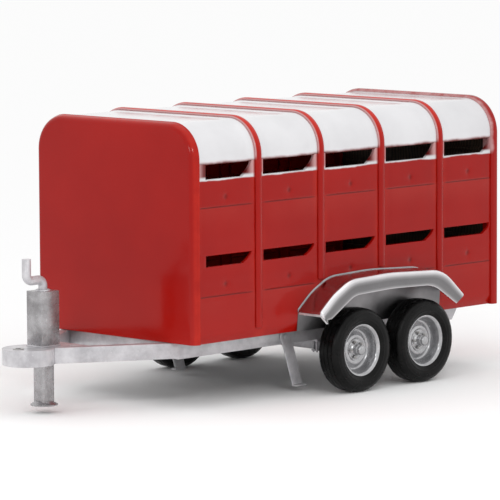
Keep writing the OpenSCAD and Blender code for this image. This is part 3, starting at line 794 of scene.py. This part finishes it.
LOWER_ROWS = ([(0.052, 0.002), (0.036, 0.0)]
              + [(TUCK_IN * (1 - t) ** 2, 0.10 * t) for t in (0, .08, .2, .35, .5, .7, .85)]
              + [(0, h) for h in (.10, .16, .22, .28, .34, .375, .381, .384, .387, .390, .393, .396, .399,
                                  .405, .42, .455, .464, .470, .475, .480, .484, .488, .493, .498, .504,
                                  .513, .54, .58, .61, .626)]
              + lip(0.640, 1))
MIDDLE_ROWS = ([(i, h) for i, h in reversed(lip(0.730, -1))]
               + [(0, h) for h in (.748, .78, .82, .86, .94, 1.02, 1.08, 1.11, 1.118, 1.122, 1.125, 1.128,
                                   1.130, 1.132, 1.135, 1.138, 1.143, 1.15, 1.18, 1.19, 1.196, 1.201,
                                   1.206, 1.210, 1.214, 1.219, 1.224, 1.230, 1.24, 1.25, 1.28, 1.30,
                                   1.33, 1.348)]
               + lip(1.365, 1))


def side_sheets():
    for rows, (low, high), part, finish in ((LOWER_ROWS, VENT_LOW, "lower", RED_SIDE),
                                            (MIDDLE_ROWS, VENT_HIGH, "middle", RED_SPRAYED)):
        parts = [side_sheet("side_" + part, rows)]
        parts.append(bar("front_stop", (SHEET_FRONT_X - 0.075, HALF_W - 0.004, low - 0.01),
                         (SHEET_FRONT_X, HALF_W - EAR_BEHIND, high + 0.01), 0.0012))
        for i, joint in enumerate(JOINTS + [REAR_X]):
            parts.append(ear("ear", low, high, joint, last=i == BAYS - 1))
        put_both(shaded(joined(f"{part}_side_sheet_left", parts)), finish, f"side_{part}_left")


ROOF_SINK = 0.008


def roof_sheet():
    """One sheet from slot to slot over the roof, sinking a little between the ribs."""
    turns, flats = 18, 10
    low = VENT_HIGH[1] - BODY_Z
    left = [(HALF_W - i, BODY_Z + h, 0.0) for i, h in reversed(lip(low, -1, 0.012, 0.026))]
    left.append((HALF_W, low + 0.022 + BODY_Z, 0.2))
    for t in range(turns):
        a = t / turns * math.pi / 2
        left.append((INNER_Y + SHOULDER_R * math.cos(a), SHOULDER_Z + SHOULDER_R * math.sin(a), 1.0))
    top = [(INNER_Y * (1 - t / flats), ROOF_Z, 1.0) for t in range(flats)]
    half = left + top
    across = half + [(0.0, ROOF_Z, 1.0)] + [(-y, z, k) for y, z, k in reversed(half)]
    steps = columns_of(ROOF_BAY_STEPS)

    def place(i, j):
        behind, (y, z, share) = steps[i], across[j]
        nearest = min(behind % BAY, BAY - behind % BAY)
        sink = ROOF_SINK * share * eased(0.065, 0.14, nearest)
        if z > SHOULDER_Z:
            middle_y = min(max(y, -INNER_Y), INNER_Y)
            away = Vector((0, y - middle_y, z - SHOULDER_Z)).normalized()
        else:
            away = Vector((0, math.copysign(1, y), 0))
        return Vector((FRONT_X - behind, y, z)) - away * sink

    sheet = finished(pressed("roof_sheet", len(steps) - 1, len(across) - 1, place))
    put(finished(thick(sheet)), "trailer", ROOF_WHITE,
        "roof_top", "roof_shoulder_left", "roof_shoulder_right")


def front_pressing():
    """Front wall, one pressing whose rim turns back over the side and roof sheets."""
    depth, inset = FRONT_X - SHEET_FRONT_X, 0.055
    bead = [(SHEET_FRONT_X - 0.004, 0.0005), (SHEET_FRONT_X - 0.003, 0.003), (SHEET_FRONT_X, 0.0045),
            (SHEET_FRONT_X + 0.005, 0.004), (SHEET_FRONT_X + 0.009, 0.0015)]
    curve = [(SHEET_FRONT_X + depth * math.sin(a), -inset * (1 - math.cos(a)))
             for a in [math.pi / 2 * t / 14 for t in range(2, 15)]]
    obj = over_the_body("front_pressing", bead + curve, BODY_Z, closed=False)
    for select in (lambda v: v.co.x > FRONT_X - 1e-4, lambda v: v.co.z < BODY_Z + 1e-4):
        deselected(obj)
        for vertex in obj.data.vertices:
            vertex.select = select(vertex)
        with editing(everything=False):
            bpy.ops.mesh.edge_face_add()
    finished(obj)
    rounded(obj, 0.022, 5, 60)
    finished(obj, 30)
    put(finished(thick(obj, 0.003), 30), "trailer", RED_FRONT, "front_cap")


RIB_HALF = 0.037
RIB_FEET = (0.08, 0.424, 0.462, 0.20)


def half_round(start, end, proud, steps=12):
    """Closed bead section: the flat on the body and a flattened half round standing off it."""
    half = (end - start) / 2
    points = []
    for i in range(steps + 1):
        a = math.pi * i / steps
        points.append(((start + end) / 2 + half * math.cos(a),
                       proud * math.sin(a) ** 0.75 if 0 < i < steps else -0.0004))
    return points


def ribs():
    """Half-round beads over the four joints; all but the first end just above the mudguards."""
    parts = []
    for joint, foot in zip(JOINTS, RIB_FEET):
        arch = half_round(joint - RIB_HALF, joint + RIB_HALF, STRIP_PROUD)
        bead = over_the_body("rib", arch, BODY_Z + foot)
        parts.append(rounded(finished(filled(bead)), 0.008, 3, 60))
    put(shaded(joined("joint_ribs", parts), 50), "trailer", RED_RIB, "cover_strips")


def rear_rim():
    """The rear frame with a rounder bead round it."""
    body = softened("rear_rim", "rear_frame", 0)
    depth, clear, reach = SHEET_REAR_X - REAR_X, 0.01, 0.06
    around = [(REAR_X - clear, 0.0), (REAR_X + depth + clear, 0.0),
              (REAR_X + depth + clear, reach), (REAR_X - clear, reach)]
    cut(body, finished(filled(over_the_body("old_bead", around, BODY_Z - 0.02, steps=20))))
    profile = [(REAR_X + depth * t, STRIP_PROUD * h) for t, h in
               ((0, -.01), (0, .35), (.03, .62), (.09, .83), (.18, .96), (.30, 1), (.62, 1), (.76, .95),
                (.87, .82), (.95, .60), (.99, .30), (1, -.01))]
    bead = finished(filled(over_the_body("rear_bead", profile, BODY_Z, steps=20)))
    put(shaded(joined("rear_rim", [body, bead]), 40), "trailer", RED_REAR, "rear_frame")


# ---------------------------------------------------------------- mudguards

def rounded_path(points, radii):
    """Line through corners, each corner rounded to a radius."""
    points = [Vector(p) for p in points]
    path = [points[0]]
    for before, corner, after, radius in zip(points, points[1:], points[2:], radii):
        a, b = (before - corner).normalized(), (after - corner).normalized()
        half = a.angle(b) / 2
        reach = min(radius / math.tan(half), (before - corner).length * 0.49,
                    (after - corner).length * 0.49)
        start, end = corner + a * reach, corner + b * reach
        for t in [k / 10 for k in range(11)]:
            path.append(start * (1 - t) ** 2 + corner * 2 * t * (1 - t) + end * t ** 2)
    return path + [points[-1]]


def stations(path, count):
    """Evenly spaced points along a path."""
    lengths = [0.0]
    for a, b in zip(path, path[1:]):
        lengths.append(lengths[-1] + (b - a).length)
    out, k = [], 0
    for i in range(count + 1):
        wanted = lengths[-1] * i / count
        while k < len(path) - 2 and lengths[k + 1] < wanted:
            k += 1
        span = max(lengths[k + 1] - lengths[k], 1e-9)
        out.append(path[k].lerp(path[k + 1], min(max((wanted - lengths[k]) / span, 0), 1)))
    return out


GUARD_IN, GUARD_OUT, GUARD_ROLL = guard_lo[1] + 0.0004, guard_hi[1], 0.036
GUARD_STATIONS = 110
GUARD_SHEET_T = 0.003
GUARD_WIRE_R = 0.011
# corners as (distance behind the front face, height above the body's foot), and the inner ones' rounding
GUARD_TOP = ([(1.240, .186), (1.395, .316), (1.610, .432), (2.120, .448), (2.790, .415), (3.054, .183)],
             (.6, .42, 2.5, .42))
GUARD_FOOT = ([(1.300, .119), (1.352, .123), (1.640, .296), (2.120, .312), (2.640, .296), (2.950, .106)],
              (.04, .26, 2.5, .38))
# front edge, curled back under itself, from its tip
GUARD_CURL = [(.014, -.037), (.008, -.036), (.003, -.032), (.0, -.024), (-.001, -.014), (.0, -.005)]


def mudguards():
    """Both mudguards, pressed from one sheet with a rolled shoulder and a skirt, and their front wires."""
    count = GUARD_STATIONS
    top = stations(rounded_path(*GUARD_TOP), count)
    foot = stations(rounded_path(*GUARD_FOOT), count)
    flat = [0, .02, .25, .5, .75, .98, 1]
    roll = [math.pi / 2 * t / 9 for t in range(1, 10)]
    skirt = [.05, .15, .35, .55, .75, .9, .975]
    edge = [(.0, 1.0), (.002, 1.004), (.006, 1.0), (.007, .985)]
    rows = len(flat) + len(roll) + len(skirt) + len(edge) + 1

    def place(i, j):
        turned = Vector(GUARD_CURL[i]) if i < len(GUARD_CURL) else Vector((0, 0))
        i = max(i - len(GUARD_CURL), 0)
        ahead, after = top[max(i - 1, 0)], top[min(i + 1, count)]
        down = Vector((after.y - ahead.y, -(after.x - ahead.x))).normalized()
        upper, lower = top[i] + turned, foot[i] + turned
        if j == 0:
            point, y = upper - down * 0.010, GUARD_IN
        elif j <= len(flat):
            point, y = upper, along(GUARD_IN, GUARD_OUT - GUARD_ROLL, flat[j - 1])
        elif j <= len(flat) + len(roll):
            a = roll[j - 1 - len(flat)]
            point = upper + down * GUARD_ROLL * (1 - math.cos(a))
            y = GUARD_OUT - GUARD_ROLL * (1 - math.sin(a))
        else:
            start = upper + down * GUARD_ROLL
            k = j - 1 - len(flat) - len(roll)
            if k < len(skirt):
                point, y = start.lerp(lower, skirt[k]), GUARD_OUT
            else:
                inward, share = edge[k - len(skirt)]
                point, y = start.lerp(lower, share), GUARD_OUT - inward
        return FRONT_X - point.x, y, BODY_Z + point.y

    sheet = finished(pressed("mudguard_left_pressing", count + len(GUARD_CURL), rows - 1, place))
    put_both(shaded(finished(thick(sheet, GUARD_SHEET_T, 1)), 45), POLISHED, "mudguard_left")
    radius = GUARD_WIRE_R
    start, low = top[0] + Vector(GUARD_CURL[2]), foot[0] + Vector(GUARD_CURL[1])
    corner = (FRONT_X - start.x, GUARD_OUT - 2 * radius, BODY_Z + start.y)
    wire = joined("mudguard_left_front_wire", [
        rod("wire", (corner[0], GUARD_IN + radius - 0.002, corner[2]), corner, radius, 0.008),
        rod("wire", corner, (FRONT_X - low.x, GUARD_OUT - 0.010, BODY_Z + low.y), radius, 0.008)])
    put_both(shaded(wire), GUARD_EDGE)


# ---------------------------------------------------------------- wheels

# sections as (radius, distance out from the wheel's middle)
TYRE_OUTER = [(.2, .072), (.212, .0755), (.224, .08), (.229, .088), (.238, .0955), (.252, .104),
              (.259, .1072), (.261, .109), (.264, .109), (.266, .1085), (.276, .111), (.288, .112),
              (.3, .1113), (.312, .1092), (.3155, .1084), (.3175, .1092), (.3205, .1084),
              (.3225, .1062), (.334, .102), (.344, .095), (.351, .086), (.3555, .076), (.3585, .066),
              (.359, .063), (.351, .0622), (.351, .0578), (.3597, .057), (.3612, .042), (.362, .025),
              (.354, .0242), (.354, .0198), (.3625, .019), (.363, .009)]
TYRE_INNER = [(.35, .009), (.349, .04), (.344, .064), (.333, .083), (.315, .096), (.29, .099),
              (.26, .092), (.24, .082), (.218, .065), (.201, .06)]
RIM_FACE = [(.196, .06), (.201, .066), (.205, .073), (.211, .079), (.217, .081), (.2215, .082),
            (.2235, .084), (.224, .0865), (.2225, .0885), (.2195, .089), (.215, .087), (.208, .083),
            (.201, .077), (.197, .069), (.1945, .06), (.192, .035), (.189, .01), (.183, -.008),
            (.174, -.019), (.164, -.0225), (.153, -.02), (.145, -.012), (.137, .004), (.131, .014),
            (.124, .019), (.115, .0205), (.106, .02), (.1, .017), (.094, .012), (.086, .009),
            (.074, .0085), (.064, .01), (.0575, .015), (.053, .021), (.049, .024), (.0466, .0245)]
RIM_BACK = [(.0466, .013), (.052, .005), (.062, .003), (.095, .003), (.103, .01), (.112, .013),
            (.122, .011), (.13, .0), (.142, -.02), (.152, -.029), (.164, -.032), (.178, -.029),
            (.185, -.024), (.186, -.06), (.19, -.07), (.196, -.078), (.206, -.086), (.216, -.089),
            (.221, -.087), (.2215, -.083), (.212, -.08), (.201, -.076), (.1965, -.065), (.196, .0)]
CAP = [(.046, .0525), (.0462, .06), (.045, .062), (.0425, .064), (.0422, .07), (.0418, .08),
       (.04, .0865), (.036, .091), (.029, .094), (.018, .0955), (.006, .096), (.0002, .096),
       (.0002, .093), (.03, .091), (.039, .083), (.0395, .0525)]


def wheels():
    """The front left wheel's five pieces, copied to the other three places."""
    centre = middle("tyre_front_left")
    outer = TYRE_OUTER + [(r, -y) for r, y in reversed(TYRE_OUTER)]
    inner = [(r, -y) for r, y in TYRE_INNER] + [(r, y) for r, y in reversed(TYRE_INNER)]
    sides = {
        "tyre": (lathe("ribbed_tyre", outer + inner, centre, steps=96), RUBBER),
        "rim": (lathe("dished_rim", RIM_FACE + RIM_BACK, centre, steps=96), RIM),
        "hub_cap": (lathe("domed_hub_cap", CAP, centre, steps=64), RIM),
        "hub": (softened("wheel_hub", "hub_front_left", 0.002), RIM),
        "nuts": (softened("wheel_nuts", "nuts_front_left", 0.0012), STEEL),
    }
    shaded(sides["tyre"][0], 32)
    shaded(sides["rim"][0], 50)
    shift = middle("tyre_rear_left") - centre
    for kind, (first, finish) in sides.items():
        base = first.name
        for axle, move in (("rear", Matrix.Translation(shift)), ("front", Matrix())):
            for side, turn in (("right", MIRROR), ("left", Matrix())):
                if axle == "front" and side == "left":
                    piece = first
                    piece.name = f"{base}_front_left"
                else:
                    piece = copied(first, f"{base}_{axle}_{side}", turn @ move)
                put(piece, f"wheel_{axle}_{side}", finish, f"{kind}_{axle}_{side}")


# ---------------------------------------------------------------- drawbar and jack

JACK = middle("jack_tube")
EYE = middle("tow_eye_bush")
BUSH_BORE_R = 0.0381
HEAD_BLOCK_HALF = 0.150
LEG_HALF, LEG_CORNER = 0.065, 0.020
LEG_BORE_HALF, LEG_BORE_CORNER = 0.0585, 0.014
FOOT_HEIGHT = 0.040


def upright(name, centre, half, corner, z0, z1, edge=0.004):
    """Square bar standing up, its corners rounded to a radius, then its ends softened."""
    obj = bar(name, (centre.x - half, centre.y - half, z0), (centre.x + half, centre.y + half, z1), 0)
    deselected(obj)
    for line in obj.data.edges:
        a, b = (obj.data.vertices[k].co for k in line.vertices)
        line.select = abs(a.z - b.z) > (z1 - z0) / 2
    with editing_edges():
        bpy.ops.mesh.bevel(offset=corner, segments=7)
    return rounded(finished(obj), edge, 3, 60) if edge else finished(obj)


def hitch_head():
    """Cast head: a round nose and a block, rounded all over, bored for the bush and the jack leg."""
    lo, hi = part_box("hitch_head")
    radius = hi[1]
    nose_x = hi[0] - radius
    nothing_selected()
    bpy.ops.mesh.primitive_cylinder_add(vertices=96, radius=radius, depth=hi[2] - lo[2],
                                        location=(nose_x, 0, (lo[2] + hi[2]) / 2))
    head = named("hitch_head_casting")
    block = bar("block", (lo[0], -HEAD_BLOCK_HALF, lo[2]), (nose_x, HEAD_BLOCK_HALF, hi[2]), 0)
    modified(head, "BOOLEAN", object=block, operation="UNION", solver="EXACT")
    bpy.data.objects.remove(block)
    rounded(head, 0.014, 5, 50)
    nothing_selected()
    bpy.ops.mesh.primitive_cylinder_add(vertices=64, radius=BUSH_BORE_R, depth=0.4, location=EYE)
    cut(head, named("eye_cutter"))
    cut(head, upright("leg_cutter", JACK, LEG_HALF + 0.0018, 0.006, lo[2] - 0.05, hi[2] + 0.05, 0))
    put(finished(head, 35), "trailer", SILVER, "hitch_head")


def jack_leg():
    """Square leg with rounded corners, flaring into a thick round foot."""
    lo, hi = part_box("jack_leg")
    foot_top = lo[2] + FOOT_HEIGHT
    leg = upright("leg", JACK, LEG_HALF, LEG_CORNER, lo[2] + 0.012, hi[2], 0.003)
    cut(leg, upright("leg_bore", JACK, LEG_BORE_HALF, LEG_BORE_CORNER, foot_top, hi[2] + 0.05, 0))
    foot = lathe("foot", [(.001, lo[2]), (.106, lo[2]), (.113, lo[2] + .002), (.116, lo[2] + .007),
                          (.115, lo[2] + .012), (.109, lo[2] + .016), (.100, lo[2] + .021),
                          (.086, lo[2] + .028), (.077, foot_top - .001), (.001, foot_top)],
                 (JACK.x, JACK.y, 0), axis="Z", steps=80)
    put(shaded(joined("jack_leg_and_foot", [leg, foot]), 40), "jack_leg", DARKER_SILVER, "jack_leg")


def drawbar_and_chassis():
    """Steelwork with eased edges, the jack's post and crank, and the prop stands."""
    for node, width in (("drawbar_arms", 0.009), ("drawbar_web", 0.002), ("crossmembers", 0.004),
                        ("floor_bearers", 0.003), ("chassis_rails", 0.005), ("axle_front", 0.002),
                        ("axle_rear", 0.002), ("axle_clamps", 0.0)):
        put(softened(node + "_steel", node, width), "trailer", SILVER, node)
    put(softened("jack_post", "jack_tube", 0.010), "trailer", DARKER_SILVER, "jack_tube")
    lo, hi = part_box("jack_tube")
    bead, top = 0.007, hi[2]
    weld = bar("post_weld", (lo[0] - bead, lo[1] - bead, lo[2]),
               (hi[0] + bead, hi[1] + bead, lo[2] + 0.012), 0.005)
    collar = lathe("crank_collar", [(.040, top), (.064, top), (.063, top + .006), (.056, top + .012),
                                    (.046, top + .014), (.040, top + .012)], (JACK.x, JACK.y, 0), "Z", 48)
    put(shaded(joined("post_weld_and_collar", [weld, collar])), "trailer", SILVER)
    put(softened("jack_crank_handle", "jack_crank", 0), "jack_crank", SILVER, "jack_crank")
    for side in ("left", "right"):
        put(softened(f"prop_stand_{side}", f"prop_{side}", 0.004), f"prop_{side}", SILVER, f"prop_{side}")


# ---------------------------------------------------------------- ramp and latches

STRAP_WIDTH, STRAP_PROUD = 0.045, 0.003
SWAGE_HALF, SWAGE_R, SWAGE_FLATTENED = 0.70, 0.020, 0.4
SWAGE_HEIGHTS = (0.95, 1.25, 1.55, 1.85, 2.10)
GRIP_Y, GRIP_Z, GRIP_HALF, GRIP_R, GRIP_PROUD = 0.42, 1.40, 0.075, 0.008, 0.026


def ramp_pieces():
    """Skin with edge straps, raised swages and two handles; inner frame, boards, cleats and latches."""
    lo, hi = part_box("ramp_skin")
    face = REAR_X
    put(softened("ramp_outer_skin", "ramp_skin", 0.0), "ramp", RED_ENAMEL, "ramp_skin")
    put(softened("ramp_inner_frame", "ramp_frame", 0.003), "ramp", RED_ENAMEL, "ramp_frame")
    edge, low, high = hi[1] - 0.004, lo[2] + 0.012, hi[2] - 0.004
    inner = edge - STRAP_WIDTH

    def strap(y_from, y_to, z_from, z_to):
        return bar("strap", (face - STRAP_PROUD, y_from, z_from), (face, y_to, z_to), 0.0012)

    straps = [strap(-inner, inner, z, z + STRAP_WIDTH) for z in (high - STRAP_WIDTH, low + 0.1)]
    straps += [strap(-edge, -inner, low, high), strap(inner, edge, low, high)]
    swage = rod("swage", (face, -SWAGE_HALF, 0), (face, SWAGE_HALF, 0), SWAGE_R, 0.008)
    swage.data.transform(Matrix.Translation((face, 0, 0)) @ Matrix.Scale(SWAGE_FLATTENED, 4, (1, 0, 0))
                         @ Matrix.Translation((-face, 0, 0)))
    swages = [copied(swage, "swage", Matrix.Translation((0, 0, z))) for z in SWAGE_HEIGHTS]
    bpy.data.objects.remove(swage)

    def across(x, y_from, x_to, y_to, radius, rounding):
        return rod("grip", (face - x, y_from, GRIP_Z), (face - x_to, y_to, GRIP_Z), radius, rounding)

    handles = []
    for y in (-GRIP_Y, GRIP_Y):
        handles.append(across(GRIP_PROUD, y - GRIP_HALF, GRIP_PROUD, y + GRIP_HALF, GRIP_R, 0.003))
        for leg_y in (y - GRIP_HALF + GRIP_R, y + GRIP_HALF - GRIP_R):
            handles.append(across(GRIP_PROUD, leg_y, -0.001, leg_y, GRIP_R, 0.002))
            handles.append(across(0.004, leg_y, -0.001, leg_y, 0.020, 0.0015))
    put(shaded(joined("ramp_straps_and_swages", straps + swages)), "ramp", RED_ENAMEL)
    put(shaded(joined("ramp_handles", handles)), "ramp", STEEL)
    for side in ("left", "right"):
        put(softened(f"over_centre_latch_{side}", f"latch_{side}", 0.0015), f"latch_{side}", STEEL,
            f"latch_{side}")
    put(softened("ramp_boards", "ramp_deck", 0.003), "ramp", BOARD, "ramp_deck")
    put(softened("ramp_foot_cleats", "ramp_cleats", 0.003), "ramp", BOARD, "ramp_cleats")


ramp_pieces()
front_pressing()
side_sheets()
roof_sheet()
ribs()
rear_rim()
mudguards()
wheels()
hitch_head()
jack_leg()
drawbar_and_chassis()


# ---------------------------------------------------------------- stage

LENS_MM = 275.35
CAMERA_PLACE = (23.3545, 23.041, 4.860)
TURN_DEG, TILT_DEG, ROLL_DEG = -135.77, -6.41, -0.31
# soft lights: place, size in metres and power in watts
LIGHTS = {
    "overhead": ((0.5, 1.5, 7.5), (9, 7), 60),
    "key": ((4.5, 7.5, 5.5), (0.9, 0.9), 75),
    "front": ((9, 3, 4.5), (1.0, 1.0), 60),
}
LIT_POINT = (0, 0, 1.2)


def camera():
    """Three-quarter view of the front and the left side, from far off with a long lens."""
    data = bpy.data.cameras.new("camera")
    data.sensor_width = 36
    data.lens = LENS_MM
    data.clip_end = 200
    obj = bpy.data.objects.new("camera", data)
    bpy.context.collection.objects.link(obj)
    turn, tilt, roll = (math.radians(angle) for angle in (TURN_DEG, TILT_DEG, ROLL_DEG))
    looking = Vector((math.cos(turn) * math.cos(tilt), math.sin(turn) * math.cos(tilt), math.sin(tilt)))
    obj.matrix_world = (Matrix.Translation(CAMERA_PLACE)
                        @ looking.to_track_quat("-Z", "Y").to_matrix().to_4x4()
                        @ Matrix.Rotation(roll, 4, "Z"))
    bpy.context.scene.camera = obj


def softbox(name, place, size, power):
    data = bpy.data.lights.new(name, "AREA")
    data.shape = "RECTANGLE"
    data.size, data.size_y = size
    data.energy = power
    obj = bpy.data.objects.new(name, data)
    bpy.context.collection.objects.link(obj)
    obj.location = place
    obj.rotation_euler = (Vector(LIT_POINT) - Vector(place)).to_track_quat("-Z", "Y").to_euler()


def studio():
    """Plain pale floor, white surroundings and soft lights."""
    nothing_selected()
    bpy.ops.mesh.primitive_plane_add(size=160, location=(0, 0, 0))
    floor = named("studio_floor")
    floor.data.materials.append(finish_for("studio_floor", (0.97, 0.97, 0.97), 0.9, specular=0.0)[0])
    world = bpy.data.worlds.new("studio")
    bpy.context.scene.world = world
    world.use_nodes = True
    background = world.node_tree.nodes["Background"]
    background.inputs["Color"].default_value = (1, 1, 1, 1)
    background.inputs["Strength"].default_value = 1.0
    for name, (place, size, power) in LIGHTS.items():
        softbox(name, place, size, power)
    bpy.context.scene.view_settings.view_transform = "Standard"


camera()
studio()
